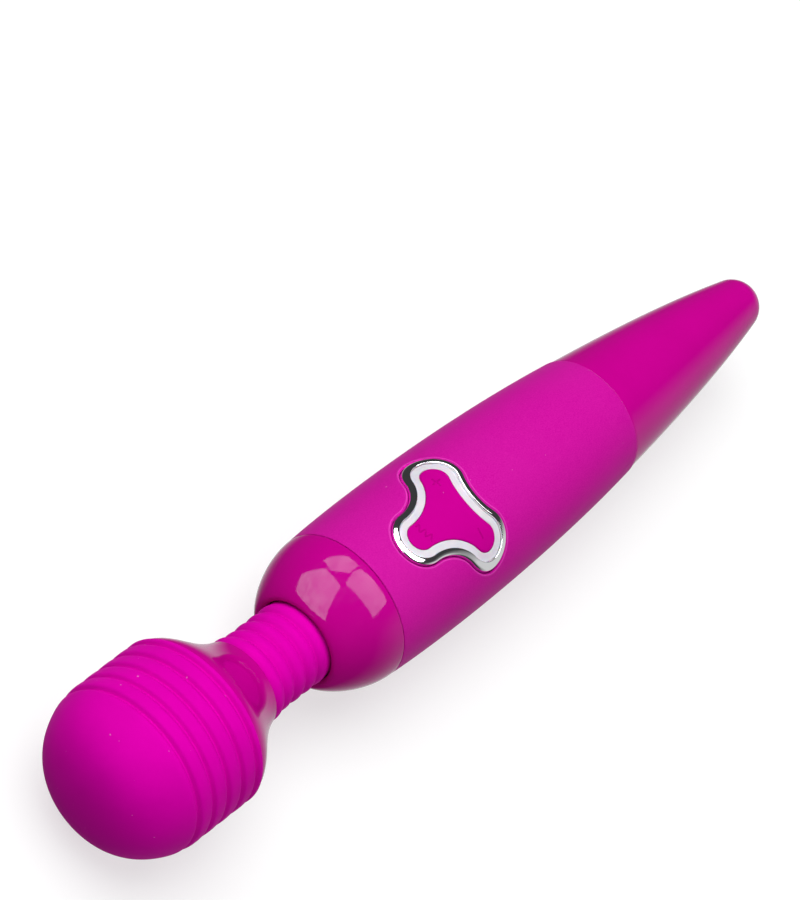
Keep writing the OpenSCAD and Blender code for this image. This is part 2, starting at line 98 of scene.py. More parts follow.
def bridge(a, b, closed=True):
    """Quads between two rows of vertex numbers of the same length."""
    count = len(a)
    faces = []
    for i in range(count if closed else count - 1):
        j = (i + 1) % count
        face = list(dict.fromkeys([a[i], a[j], b[j], b[i]]))
        if len(face) > 2:
            faces.append(face)
    return faces


def turned(name, outline):
    """Solid turned about the wand's axis from a closed outline of [station, radius]."""
    points, rows = [], []
    angles = np.arange(TURN_STEPS) * 2 * math.pi / TURN_STEPS
    for station, radius in outline:
        if radius < 1e-6:
            rows.append([len(points)] * TURN_STEPS)
            points.append([station, 0, 0])
        else:
            rows.append(list(range(len(points), len(points) + TURN_STEPS)))
            points += [[station, radius * math.sin(a), radius * math.cos(a)] for a in angles]
    faces = []
    for i, row in enumerate(rows):
        faces += bridge(row, rows[(i + 1) % len(rows)])
    return mesh_object(name, points, faces)


def curve(a, b, c, d, count):
    """Points along a cubic curve, as a list of [x, y]."""
    t = np.linspace(0, 1, count + 1)[:, None]
    u = 1 - t
    a, b, c, d = (np.array(p, float) for p in (a, b, c, d))
    return (u ** 3 * a + 3 * u * u * t * b + 3 * u * t * t * c + t ** 3 * d).tolist()


def arc(middle, radius, start, stop, count):
    """Points round a circle from one angle to another, in degrees."""
    angles = np.radians(np.linspace(start, stop, count + 1))
    return [[middle[0] + radius * math.cos(a), middle[1] + radius * math.sin(a)] for a in angles]


def soften(outline, spread, samples=9):
    """The outline with its radius averaged over spread either side, which rounds the valleys."""
    line = np.array(outline, float)
    offsets = np.linspace(-spread, spread, samples)
    inner = np.clip(line[:, 0, None] + offsets, line[0, 0], line[-1, 0])
    radius = np.interp(inner, line[:, 0], line[:, 1]).mean(axis=1)
    radius[0], radius[-1] = line[0, 1], line[-1, 1]
    return np.column_stack([line[:, 0], radius]).tolist()


def ridge(start, pitch, crest, arc_r, count=24):
    """Points over one rounded ridge."""
    stations = [start + pitch * i / count for i in range(count + 1)]
    middle = start + pitch / 2
    return [[s, crest - arc_r + math.sqrt(arc_r ** 2 - (s - middle) ** 2)] for s in stations]


# ---- material helpers ----

def new_material(name):
    """Empty node material with its Principled shader and a coordinate in millimetres."""
    material = bpy.data.materials.new(name)
    material.use_nodes = True
    tree = material.node_tree
    shader = tree.nodes["Principled BSDF"]
    where = tree.nodes.new("ShaderNodeTexCoord")
    scaled = tree.nodes.new("ShaderNodeVectorMath")
    scaled.operation = "SCALE"
    scaled.inputs["Scale"].default_value = 1 / MM
    tree.links.new(where.outputs["Object"], scaled.inputs[0])
    return material, tree, shader, scaled.outputs[0]


def noise(tree, where, per_mm, detail=2.0, stretch=None):
    """Noise between 0 and 1, per_mm cycles to the millimetre."""
    if stretch is not None:
        shape = tree.nodes.new("ShaderNodeVectorMath")
        shape.operation = "MULTIPLY"
        shape.inputs[1].default_value = stretch
        tree.links.new(where, shape.inputs[0])
        where = shape.outputs[0]
    node = tree.nodes.new("ShaderNodeTexNoise")
    node.inputs["Scale"].default_value = per_mm
    node.inputs["Detail"].default_value = detail
    tree.links.new(where, node.inputs["Vector"])
    return node.outputs["Fac"]


def remap(tree, value, low, high, to_low, to_high):
    """Value moved from the range low to high onto another, and held inside it."""
    node = tree.nodes.new("ShaderNodeMapRange")
    for key, number in (("From Min", low), ("From Max", high), ("To Min", to_low), ("To Max", to_high)):
        node.inputs[key].default_value = number
    tree.links.new(value, node.inputs["Value"])
    return node.outputs["Result"]


def blend_colour(tree, share, first, second):
    """Mix of two colours, each a tuple or a socket, by a share socket."""
    node = tree.nodes.new("ShaderNodeMix")
    node.data_type = "RGBA"
    tree.links.new(share, node.inputs["Factor"])
    for key, colour in (("A", first), ("B", second)):
        socket = next(s for s in node.inputs if s.name == key and s.type == "RGBA")
        if isinstance(colour, tuple):
            socket.default_value = (*colour, 1)
        else:
            tree.links.new(colour, socket)
    return next(s for s in node.outputs if s.type == "RGBA")


def bump(tree, shader, height, depth_mm):
    """Gives the shader surface relief of that depth."""
    node = tree.nodes.new("ShaderNodeBump")
    node.inputs["Strength"].default_value = 1
    node.inputs["Distance"].default_value = depth_mm * MM
    tree.links.new(height, node.inputs["Height"])
    tree.links.new(node.outputs["Normal"], shader.inputs["Normal"])


def settings(shader, **values):
    """Sets the shader's inputs by name, with _ for a space."""
    for key, value in values.items():
        socket = shader.inputs[key.replace("_", " ")]
        socket.default_value = (*value, 1) if isinstance(value, tuple) and len(value) == 3 else value


# ---- materials ----

def soft_skin(name="soft_skin", colour=(0.64, 0.0, 0.37), dark=(0.60, 0.0, 0.345)):
    """Satin silicone: slight cloudiness, fine tooth, a few specks of dust."""
    material, tree, shader, where = new_material(name)
    cloud = noise(tree, where, 0.06, 3)
    base = blend_colour(tree, remap(tree, cloud, 0.35, 0.65, 0, 1), dark, colour)
    dust = noise(tree, where, 0.9, 0)
    speck = remap(tree, dust, 0.88, 0.90, 0, 0.4)
    base = blend_colour(tree, speck, base, (0.80, 0.35, 0.62))
    tree.links.new(base, shader.inputs["Base Color"])
    grain = noise(tree, where, 6, 2)
    tree.links.new(remap(tree, grain, 0.3, 0.7, 0.50, 0.60), shader.inputs["Roughness"])
    bump(tree, shader, grain, 0.006)
    settings(shader, Specular_IOR_Level=0.025, Specular_Tint=(1.0, 0.1, 0.8))
    return material


def gloss_shell():
    """Polished moulded plastic with a faint orange peel and hairline scuffs."""
    material, tree, shader, where = new_material("gloss_shell")
    cloud = noise(tree, where, 0.05, 2)
    base = blend_colour(tree, remap(tree, cloud, 0.3, 0.7, 0, 1), (0.46, 0.0, 0.224), (0.485, 0.0, 0.238))
    tree.links.new(base, shader.inputs["Base Color"])
    scuff = noise(tree, where, 0.8, 3, (0.2, 1, 1))
    tree.links.new(remap(tree, scuff, 0.45, 0.75, 0.055, 0.12), shader.inputs["Roughness"])
    bump(tree, shader, noise(tree, where, 0.35, 1), 0.010)
    settings(shader, IOR=1.42, Specular_IOR_Level=0.25)
    return material


def satin_shell():
    """Soft-touch coating: fine speckle, faint patches and dust, and a thin paler line round the keypad's
    hole.
    """
    material, tree, shader, where = new_material("satin_shell")
    speckle = noise(tree, where, 2.6, 3)
    base = blend_colour(
        tree, remap(tree, speckle, 0.32, 0.68, 0, 1), (0.48, 0.001, 0.262), (0.56, 0.010, 0.318)
    )
    patch = remap(tree, noise(tree, where, 0.03, 2), 0.35, 0.65, 0, 0.35)
    base = blend_colour(tree, patch, base, (0.53, 0.012, 0.30))
    # Paler colour in a thin line round the keypad's hole, weighted by a vertex attribute of the sleeve.
    pale_line_node = tree.nodes.new("ShaderNodeAttribute")
    pale_line_node.attribute_name = "pale_line"
    base = blend_colour(tree, remap(tree, pale_line_node.outputs["Fac"], 0, 1, 0, 0.75), base, (0.72, 0.06, 0.48))
    dust = remap(tree, noise(tree, where, 0.8, 0), 0.88, 0.90, 0, 0.4)
    base = blend_colour(tree, dust, base, (0.80, 0.30, 0.62))
    tree.links.new(base, shader.inputs["Base Color"])
    tree.links.new(remap(tree, speckle, 0.3, 0.7, 0.38, 0.52), shader.inputs["Roughness"])
    bump(tree, shader, noise(tree, where, 5.0, 2), 0.012)
    settings(shader, Specular_IOR_Level=0.04, Specular_Tint=(1.0, 0.2, 0.85))
    return material


def bright_trim():
    """Bright plating over moulded plastic, with a slight waviness."""
    material, tree, shader, where = new_material("bright_trim")
    settings(shader, Base_Color=(0.86, 0.87, 0.88), Metallic=1.0)
    smear = noise(tree, where, 0.5, 3)
    tree.links.new(remap(tree, smear, 0.4, 0.75, 0.03, 0.10), shader.inputs["Roughness"])
    bump(tree, shader, noise(tree, where, 0.35, 1), 0.012)
    return material


def light_guide():
    """Frosted translucent plastic, milky with a lilac cast."""
    material, tree, shader, where = new_material("light_guide")
    cloud = noise(tree, where, 0.25, 2)
    base = blend_colour(tree, remap(tree, cloud, 0.3, 0.7, 0, 1), (0.61, 0.58, 0.64), (0.66, 0.63, 0.69))
    tree.links.new(base, shader.inputs["Base Color"])
    tree.links.new(remap(tree, noise(tree, where, 4, 2), 0.3, 0.7, 0.30, 0.42), shader.inputs["Roughness"])
    settings(shader, Subsurface_Weight=0.35, Subsurface_Scale=0.0012, Specular_IOR_Level=0.35)
    return material


def plastic(name, colour, roughness, grain_mm=0.01):
    """Moulded plastic with a fine spark-eroded grain."""
    material, tree, shader, where = new_material(name)
    cloud = noise(tree, where, 0.12, 3)
    dark = tuple(c * 0.9 for c in colour)
    base = blend_colour(tree, remap(tree, cloud, 0.3, 0.7, 0, 1), dark, colour)
    tree.links.new(base, shader.inputs["Base Color"])
    grain = noise(tree, where, 3.5, 3)
    polish = remap(tree, grain, 0.3, 0.7, roughness - 0.06, roughness + 0.06)
    tree.links.new(polish, shader.inputs["Roughness"])
    bump(tree, shader, grain, grain_mm)
    return material


def metal(name, colour, roughness, stretch=(0.15, 1, 1)):
    """Drawn or turned metal, with fine marks that run one way."""
    material, tree, shader, where = new_material(name)
    marks = noise(tree, where, 3.0, 3, stretch)
    dark = tuple(c * 0.82 for c in colour)
    base = blend_colour(tree, remap(tree, marks, 0.3, 0.7, 0, 1), dark, colour)
    tree.links.new(base, shader.inputs["Base Color"])
    polish = remap(tree, marks, 0.3, 0.7, roughness - 0.07, roughness + 0.07)
    tree.links.new(polish, shader.inputs["Roughness"])
    bump(tree, shader, marks, 0.004)
    settings(shader, Metallic=1.0)
    return material


def circuit_board():
    """Solder-masked laminate with a faint glass weave and lighter tracks."""
    material, tree, shader, where = new_material("circuit_board")
    weave = tree.nodes.new("ShaderNodeTexBrick")
    weave.inputs["Scale"].default_value = 0.8
    weave.inputs["Color1"].default_value = (0.020, 0.115, 0.050, 1)
    weave.inputs["Color2"].default_value = (0.025, 0.130, 0.058, 1)
    weave.inputs["Mortar"].default_value = (0.055, 0.230, 0.100, 1)
    weave.inputs["Mortar Size"].default_value = 0.03
    tree.links.new(where, weave.inputs["Vector"])
    tree.links.new(weave.outputs["Color"], shader.inputs["Base Color"])
    settings(shader, Roughness=0.32)
    bump(tree, shader, weave.outputs["Fac"], 0.02)
    return material


def make_materials():
    """One material for each material slot of the record."""
    return {
        "soft_skin": soft_skin(),
        "gloss_shell": gloss_shell(),
        "satin_shell": satin_shell(),
        "bright_trim": bright_trim(),
        "light_guide": light_guide(),
        "inner_plastic": plastic("inner_plastic", (0.74, 0.72, 0.67), 0.45),
        "black_plastic": plastic("black_plastic", (0.018, 0.018, 0.020), 0.38),
        "circuit_board": circuit_board(),
        "cell_wrap": plastic("cell_wrap", (0.03, 0.13, 0.42), 0.24, 0.003),
        "wire_jacket": plastic("wire_jacket", (0.42, 0.015, 0.012), 0.42, 0.004),
        "seal_rubber": plastic("seal_rubber", (0.012, 0.012, 0.012), 0.62, 0.015),
        "steel": metal("steel", (0.56, 0.57, 0.59), 0.27),
        "brass": metal("brass", (0.72, 0.52, 0.20), 0.25),
        "copper": metal("copper", (0.62, 0.25, 0.11), 0.30, (1, 0.12, 0.12)),
        "dark_iron": metal("dark_iron", (0.10, 0.10, 0.11), 0.42),
    }


MATERIALS = make_materials()
SLOT_OF = {part["node"]: part["material_slot"] for part in frame["record"]["subparts"]}
for node_name, node_object in frame["nodes"].items():
    node_object.data.materials.clear()
    node_object.data.materials.append(MATERIALS[SLOT_OF[node_name]])


def finish_piece(obj, slot, *nodes, material=None):
    """Gives a piece its slot's material, or the material given, and hides the CAD nodes that it stands for.
    """
    obj.data.materials.append(material or MATERIALS[slot])
    if nodes:
        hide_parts(*nodes)
    return obj


# ---- head ----

GROOVE_PITCH = 6
GROOVE_LAST = -66.7                  # rearmost groove of the head
GROOVES = 5
GROOVE_DEPTH = 0.92
GROOVE_HALF = 0.78                   # half width of a groove, at about a third of its depth
BAND_CROWN = 0.022                   # fall of a band 1 mm from its middle, grows with the square
SWELL = 0.028                        # the same towards the nose, from the foremost band's middle
CAP_REAR = -64.43                    # rear edge of the soft cap
CAP_LIP = 0.35                       # rounding of that edge
CUP_FRONT = -64.4
CUP_REAR = -44
CUP_EDGE = 0.3                       # rounding of the cup's rear edge
CUP_BORE = 10.05                     # round the neck's front plug
CUP_FLOOR = -60.2                    # front end of the cup's hollow
CORE_R = 23.6                        # rigid head shell
CAP_GAP, CUP_GAP = 0.05, 0.1         # play of the cap and of the cup over that shell


def head_cap():
    """Soft cap, hollow over the rigid head shell: crowned bands between narrow rounded grooves."""
    first = GROOVE_LAST - (GROOVES - 1) * GROOVE_PITCH
    swell_end, front = first + GROOVE_PITCH / 2, first - GROOVE_PITCH / 2
    lip_x = CAP_REAR - CAP_LIP
    stations = np.linspace(front, lip_x, 240)
    groove = (stations - GROOVE_LAST + GROOVE_PITCH / 2) % GROOVE_PITCH - GROOVE_PITCH / 2
    crown = GROOVE_PITCH / 2 - np.abs(groove)
    radius = HEAD_R - BAND_CROWN * crown ** 2 - GROOVE_DEPTH * np.exp(-(groove / GROOVE_HALF) ** 2)
    radius -= SWELL * np.maximum(0, swell_end - stations) ** 2
    line = np.column_stack([stations, radius]).tolist()
    dome = curve([NOSE, 0], [NOSE, 14.3], [-105.1, 22.4], line[0], 64)
    rear = arc([lip_x, line[-1][1] - CAP_LIP], CAP_LIP, 90, 0, 6)[1:]
    hollow = curve([-94, CORE_R - 0.45], [-103.65, 20.05], [-107.25, 11.65], [-107.25, 0], 24)
    skirt = [[CAP_REAR, CORE_R + CAP_GAP], [-92, CORE_R + CAP_GAP]]
    return turned("soft_cap", dome + line[1:] + rear + skirt + hollow)


def head_cup():
    """Glossy cup behind the cap, waisted to the neck."""
    waist = curve([CUP_FRONT, 26.9], [-60, 26.6], [-53.5, 17], [CUP_REAR - CUP_EDGE / 2, 14.3], 48)
    rear = arc([CUP_REAR - CUP_EDGE, 13.95], CUP_EDGE, 60, 0, 4)
    hollow = curve([-50, 12], [-54.5, 15.5], [-57.5, 22.5], [CUP_FLOOR, 22.5], 20)
    seat = [[CUP_FLOOR, CORE_R + CUP_GAP], [CUP_FRONT, CORE_R + CUP_GAP]]
    return turned("glossy_cup", waist + rear + [[CUP_REAR, CUP_BORE], [-50, CUP_BORE]] + hollow + seat)


# ---- neck ----

RIB_START = -43.9
RIB_PITCH = 4.9
RIB_ARC = 3.2                        # radius of each rib's arc
RIB_CRESTS = [13.9, 13.25, 13.25, 13.25, 13.25, 12.85]
VALLEY_SPREAD = 0.24                 # rounding of the valleys between the ribs
CUFF_START, CUFF_R = -21.5, 12.85    # plain cuff that fills the collar's mouth
FLANGE_FRONT, FLANGE_REAR = -12, -9.05
FLANGE_R = 16.5                      # flange that the collar and the rear plug hold between them
NECK_SPLIT = RIB_START + 3 * RIB_PITCH
NECK_BORE = 10
BORE_REAR = -10                      # rear end of the bore's even part
SPRING_FRONT, SPRING_REAR = -39, -19
SPRING_TURNS, SPRING_R, WIRE_R = 6, 8.3, 0.9
LEAD_R = 0.7
LEAD_ASIDE = 1.8                     # of each motor lead from the wand's middle plane
LEAD_FRONT = [(CUP_FLOOR, 0), (NECK_SPLIT, 0)]
LEAD_REAR = [(NECK_SPLIT, 0), (-2, 0), (6, 11.3), (11, 11.3)]


def neck_outline():
    """Outer outline of the whole bellows sleeve, from the head cup to its rear flange."""
    line = []
    for k, crest in enumerate(RIB_CRESTS):
        row = ridge(RIB_START + k * RIB_PITCH, RIB_PITCH, crest, RIB_ARC)
        line += row if k == 0 else row[1:]
    line = [[s, max(r, CUFF_R) if s > CUFF_START else r] for s, r in line]
    return soften(line, VALLEY_SPREAD)


def bend_rear(obj):
    """Rear piece of the neck, between the handle and the middle of the neck, with its placement baked into
    its mesh.
    """
    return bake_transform(obj)


def bend_front(obj):
    """Front piece of the neck, between the middle of the neck and the head, with its placement baked into
    its mesh.
    """
    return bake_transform(obj)


def neck_halves():
    """Front and rear halves of the bellows, which meet in a valley."""
    line = neck_outline()
    front = [p for p in line if p[0] <= NECK_SPLIT + 0.01]
    rear = [p for p in line if p[0] >= NECK_SPLIT - 0.01]
    tail = RIB_START + len(RIB_CRESTS) * RIB_PITCH
    flange = [
        [tail + 0.3, CUFF_R], [FLANGE_FRONT, CUFF_R], [FLANGE_FRONT, FLANGE_R],
        [FLANGE_REAR, FLANGE_R], [FLANGE_REAR, NECK_BORE],
    ]
    bore_front = [[s, NECK_BORE] for s in np.linspace(NECK_SPLIT, RIB_START, 12)]
    bore_rear = [[s, NECK_BORE] for s in np.linspace(BORE_REAR, NECK_SPLIT, 14)]
    return (
        turned("bellows_front", front + bore_front),
        turned("bellows_rear", rear + flange + bore_rear),
    )


def swept(name, paths, radius, sides=12):
    """Round wires along lists of points, each with flat ends, as one piece."""
    points, faces = [], []
    for path in paths:
        path = np.asarray(path, float)
        ahead = np.gradient(path, axis=0)
        ahead /= np.linalg.norm(ahead, axis=1)[:, None]
        side = np.cross(ahead[0], [0.3, 0.2, 1.0])
        rows = []
        for place_on, direction in zip(path, ahead):
            side = side - (side @ direction) * direction
            side /= np.linalg.norm(side)
            other = np.cross(direction, side)
            rows.append(list(range(len(points), len(points) + sides)))
            for k in range(sides):
                a = 2 * math.pi * k / sides
                points.append(place_on + radius * (math.cos(a) * side + math.sin(a) * other))
        for first, second in zip(rows, rows[1:]):
            faces += bridge(first, second)
        faces += [rows[0][::-1], rows[-1]]
    return mesh_object(name, points, faces)


def spring_path(start, stop):
    """Centre line of the neck spring between two stations."""
    stations = np.linspace(start, stop, 150)
    angle = 2 * math.pi * SPRING_TURNS * (stations - SPRING_FRONT) / (SPRING_REAR - SPRING_FRONT)
    return np.column_stack([stations, SPRING_R * np.cos(angle), SPRING_R * np.sin(angle)])


def lead_path(side, corners, step=0.8):
    """Motor lead on one side, through corners of (station, height), with points every step."""
    path = []
    for (s0, h0), (s1, h1) in zip(corners, corners[1:]):
        count = max(2, int(math.hypot(s1 - s0, h1 - h0) / step))
        for t in np.linspace(0, 1, count, endpoint=False):
            path.append([s0 + (s1 - s0) * t, side * LEAD_ASIDE, h0 + (h1 - h0) * t])
    path.append([corners[-1][0], side * LEAD_ASIDE, corners[-1][1]])
    return path


# ---- collar, sleeve and tail ----

MOUTH_R = 13.2                       # opening for the neck
LIP_X, LIP_R = -18.9, 1.3            # rolled lip round it
SEAM_R = 24
SLEEVE_BORE = 21.6
SPIGOT_GAP = 0.1                     # play of the collar's spigot in the sleeve
SLEEVE_END_R = 20.15
EDGE = 0.22                          # rounding of the shells' edges


def front_collar():
    """Glossy collar with a rolled lip round the neck's opening."""
    lip = arc([LIP_X, MOUTH_R + LIP_R], LIP_R, 270, 150, 20)
    shoulder = curve(lip[-1], [-18.6, 17.8], [-9.3, 23.8], [-EDGE, SEAM_R], 56)
    edge = arc([-EDGE, SEAM_R - EDGE], EDGE, 90, 0, 4)[1:]
    spigot_r, seal_r = SLEEVE_BORE - SPIGOT_GAP, 20.1
    seal_groove = [[3.2, spigot_r], [3.2, seal_r], [4.8, seal_r], [4.8, spigot_r]]
    spigot = [[0, spigot_r]] + seal_groove + [[8, spigot_r]]
    bore = [[8, 19.4], [-4, 19.4], [-4, 17.2], [-12.1, 17.2], [-12.1, MOUTH_R]]
    return turned("collar_shell", lip + shoulder[1:] + edge + spigot + bore)


SLEEVE_LINE = np.array(curve([SEAM_GAP, SEAM_R], [22, 25.5], [70, 25.2], [SLEEVE_END, SLEEVE_END_R], 240))


def sleeve_r(station):
    """Outer radius of the grip sleeve."""
    return np.interp(station, SLEEVE_LINE[:, 0], SLEEVE_LINE[:, 1])


def edge_drop(station):
    """How far the sleeve's rounded ends fall below its outline."""
    near = np.minimum(station - SEAM_GAP, SLEEVE_END - station)
    inside = np.clip(EDGE - near, 0, EDGE)
    return EDGE - np.sqrt(EDGE ** 2 - inside ** 2)


def bore_r(station):
    """Inner radius of the grip sleeve."""
    return np.interp(station, [60, SLEEVE_END], [SLEEVE_BORE, 18])


# ---- keypad outline ----

PAD_X = 32.5                         # station of the keypad's middle
LOBE_ORBIT = 12.45                   # from the keypad's middle to each lobe's middle
LOBE_R, HOLLOW_R = 4.15, 17.2        # of the pad's edge
LOBE_ANGLES = {"mode": 180, "plus": 60, "minus": -60}
RING_EDGE = 2.35                     # offset of the light ring's outside from the pad's edge
BEZEL_EDGE = 4.4                     # offset of the bezel's outside
HOLE_EDGE = 4.55                     # offset of the hole in the sleeve
RIM_EDGE = 5.65                      # offset at which the sleeve begins to dip to the bezel
PALE_LINE_EDGE, PALE_LINE_WIDTH = 5.3, 0.16    # offset and width of the thin paler line round the hole


def lobe_sizes(offset):
    """Orbit and radius of the lobes, and distance and radius of the hollows, at an offset."""
    orbit, radius, hollow = LOBE_ORBIT, LOBE_R + offset, HOLLOW_R - offset
    distance = orbit / 2 + math.sqrt((radius + hollow) ** 2 - 0.75 * orbit ** 2)
    return orbit, radius, distance, hollow


def lobe_outline(offset, arc_steps=40, hollow_steps=20):
    """One lobe along +X, from the middle of one hollow to the middle of the next."""
    orbit, radius, distance, hollow = lobe_sizes(offset)
    centre = np.array([distance * math.cos(math.radians(60)), distance * math.sin(math.radians(60))])
    to_lobe = np.array([orbit, 0]) - centre
    start = math.degrees(math.atan2(to_lobe[1], to_lobe[0]))
    touch = 180 + start
    upper_arc = arc([orbit, 0], radius, 0, touch, arc_steps // 2)
    upper_hollow = arc(centre, hollow, start, -120, hollow_steps)
    upper = upper_arc + upper_hollow[1:]
    lower = [[x, -y] for x, y in reversed(upper[1:])]
    return np.array(lower + upper)


def turn_plan(points, degrees):
    """Plan points turned about the keypad's middle, then moved to their stations."""
    a = math.radians(degrees)
    points = np.asarray(points, float)
    x = points[:, 0] * math.cos(a) - points[:, 1] * math.sin(a)
    y = points[:, 0] * math.sin(a) + points[:, 1] * math.cos(a)
    return np.column_stack([x + PAD_X, y])


def pad_outline(offset):
    """Whole keypad outline at an offset, as plan points [station, across]."""
    lobe = lobe_outline(offset)[:-1]
    return np.vstack([turn_plan(lobe, a) for a in (60, 180, 300)])


def polar_reach(offset, angle):
    """Distance from the keypad's middle to its outline at an offset, towards an angle in radians."""
    orbit, radius, distance, hollow = lobe_sizes(offset)
    from_lobe = math.degrees(angle) % 120 - 60
    turn = math.radians(abs(from_lobe))
    across = orbit * math.sin(turn)
    centre_turn = math.radians(60) - turn
    if across < radius:
        reach = orbit * math.cos(turn) + math.sqrt(radius ** 2 - across ** 2)
        touch = np.array([orbit, 0]) + radius * np.array([
            distance * 0.5 - orbit, distance * math.sin(math.radians(60))
        ]) / (radius + hollow)
        if turn <= math.atan2(touch[1], touch[0]):
            return reach
    side = distance * math.sin(centre_turn)
    return distance * math.cos(centre_turn) - math.sqrt(hollow ** 2 - side ** 2)


def lift(plan, rise):
    """Points at a height over the sleeve's barrel, above plan points."""
    plan = np.asarray(plan, float)
    radius = sleeve_r(plan[:, 0]) + rise
    return np.column_stack([plan[:, 0], plan[:, 1], np.sqrt(radius ** 2 - plan[:, 1] ** 2)])


# ---- grip sleeve ----

PATCH_X = (6, 56)                    # stations between which the mesh turns to follow the keypad
PATCH_ANGLE = 64                     # and the angle either side of the top
PATCH_COLUMNS, PATCH_ROWS = 56, 64
PATCH_SHARES = [0.88, 0.76, 0.64, 0.53, 0.43, 0.34, 0.26, 0.19, 0.13, 0.08, 0.04, 0.015]
RIM_PROFILE = [                      # offset from the pad's edge, fall below the sleeve's surface
    (RIM_EDGE, 0.0), (5.5, -0.02), (5.38, -0.07), (5.27, -0.08), (5.16, -0.02), (5.04, 0.1),
    (4.91, 0.24), (4.78, 0.38), (4.66, 0.52), (HOLE_EDGE, 0.68),
]


def sleeve_grid():
    """Stations and angles of the sleeve's grid, and the patch's place in it."""
    ends = EDGE * (1 - np.cos(np.radians([0, 25, 50, 75])))
    front = np.concatenate([SEAM_GAP + ends, np.linspace(SEAM_GAP + EDGE, PATCH_X[0], 8)[:-1]])
    middle = np.linspace(*PATCH_X, PATCH_COLUMNS + 1)
    rear = np.linspace(PATCH_X[1], SLEEVE_END - EDGE, 64)[1:]
    stations = np.concatenate([front, middle, rear, SLEEVE_END - ends[::-1]])
    near = np.radians(np.linspace(-PATCH_ANGLE, PATCH_ANGLE, PATCH_ROWS + 1))
    far = np.radians(np.linspace(PATCH_ANGLE, 360 - PATCH_ANGLE, 117))[1:-1]
    return stations, np.concatenate([near, far]), len(front)


def grip_sleeve():
    """Matte sleeve whose hole for the keypad has a raised, softly dished rim."""
    stations, angles, first = sleeve_grid()
    columns, rows = len(stations), len(angles)
    last = first + PATCH_COLUMNS
    points, faces, pale_line = [], [], []

    def add(new_points, value=0.0):
        start = len(points)
        points.extend(new_points)
        pale_line.extend([value] * len(new_points))
        return list(range(start, len(points)))

    def wall(radius_of):
        """Grid of vertex numbers over a turned surface, open at the patch, and its edge."""
        numbers = {}
        for i, station in enumerate(stations):
            radius = radius_of(station)
            for j, angle in enumerate(angles):
                if first < i < last and 0 < j < PATCH_ROWS:
                    continue
                point = [station, radius * math.sin(angle), radius * math.cos(angle)]
                numbers[i, j] = add([point])[0]
        for i in range(columns - 1):
            for j in range(rows):
                if first <= i < last and j < PATCH_ROWS:
                    continue
                k = (j + 1) % rows
                faces.append([numbers[i, j], numbers[i + 1, j], numbers[i + 1, k], numbers[i, k]])
        edge = [(i, 0) for i in range(first, last)]
        edge += [(last, j) for j in range(PATCH_ROWS)]
        edge += [(i, PATCH_ROWS) for i in range(last, first, -1)]
        edge += [(first, j) for j in range(PATCH_ROWS, 0, -1)]
        return numbers, edge

    def outside(station):
        return sleeve_r(station) - edge_drop(station)

    outer, edge = wall(outside)
    inner, _ = wall(bore_r)
    edge_x = np.array([stations[i] for i, j in edge])
    edge_turn = np.array([angles[j] for i, j in edge])
    bearing = np.arctan2(sleeve_r(edge_x) * np.sin(edge_turn), edge_x - PAD_X)

    def hole(offset):
        reach = np.array([polar_reach(offset, b) for b in bearing])
        return np.column_stack([PAD_X + reach * np.cos(bearing), reach * np.sin(bearing)])

    def rings(radius_of, offset, shares):
        """Rings on a turned surface, part way from the hole's outline to the patch's edge."""
        rim = hole(offset)
        rim_turn = np.arcsin(rim[:, 1] / radius_of(rim[:, 0]))
        made = []
        for share in shares:
            x = rim[:, 0] + (edge_x - rim[:, 0]) * share
            turn = rim_turn + (edge_turn - rim_turn) * share
            radius = radius_of(x)
            made.append(add(np.column_stack([x, radius * np.sin(turn), radius * np.cos(turn)]).tolist()))
        return made

    chain = [[outer[key] for key in edge]]
    chain += rings(sleeve_r, RIM_EDGE, PATCH_SHARES)
    for offset, fall in RIM_PROFILE:
        # Weight of the thin paler line round the hole, highest at its offset.
        value = math.exp(-((offset - PALE_LINE_EDGE) / PALE_LINE_WIDTH) ** 2)
        chain.append(add(lift(hole(offset), -fall).tolist(), value))
    bottom = hole(HOLE_EDGE)
    height = np.sqrt(bore_r(bottom[:, 0]) ** 2 - bottom[:, 1] ** 2)
    chain.append(add(np.column_stack([bottom, height]).tolist()))
    chain += rings(bore_r, HOLE_EDGE, [0.1, 0.3, 0.6])
    chain.append([inner[key] for key in edge])
    for a, b in zip(chain, chain[1:]):
        faces.extend(bridge(a, b))
    for i in (0, columns - 1):
        faces.extend(bridge([outer[i, j] for j in range(rows)], [inner[i, j] for j in range(rows)]))
    obj = mesh_object("satin_sleeve", points, faces)
    attribute = obj.data.attributes.new("pale_line", "FLOAT", "POINT")
    attribute.data.foreach_set("value", pale_line)
    return obj


def tail_cone():
    """Glossy tail with a rounded tip, bored for the charging socket."""
    tip_r, lean = 8.5, 13.8          # lean is the cone's slope, in degrees, where it meets the tip
    hole_r, hole_edge = 3.25, 0.25   # of the socket's opening
    tip_x = TAIL - math.sqrt(tip_r ** 2 - hole_r ** 2)
    tip = arc([tip_x, 0], tip_r, 90 - lean, math.degrees(math.asin((hole_r + hole_edge) / tip_r)), 40)
    start_x, start_r, round_r = SLEEVE_END + 0.1, SLEEVE_END_R - 0.3, 0.15
    edge = arc([start_x + round_r, start_r - round_r], round_r, 180, 90, 3)
    cone = curve(edge[-1], [134.5, 17.2], [161.5, 13.55], tip[0], 80)
    hollow = curve([174, 7.9], [158, 11], [134.5, 14.8], [SLEEVE_END, 15.4], 24)
    mouth = [[tip[-1][0] - 0.08, hole_r + 0.08], [tip[-1][0] - 0.35, hole_r], [174, hole_r]]
    spigot_r, seal_r = 17.5, 16.5
    seal_groove = [[107.2, spigot_r], [107.2, seal_r], [108.8, seal_r], [108.8, spigot_r]]
    spigot = [[105, 15.4], [105, spigot_r]] + seal_groove + [[start_x, spigot_r]]
    return turned("tail_shell", edge + cone[1:] + tip[1:] + mouth + hollow + spigot)


# ---- keypad pieces ----

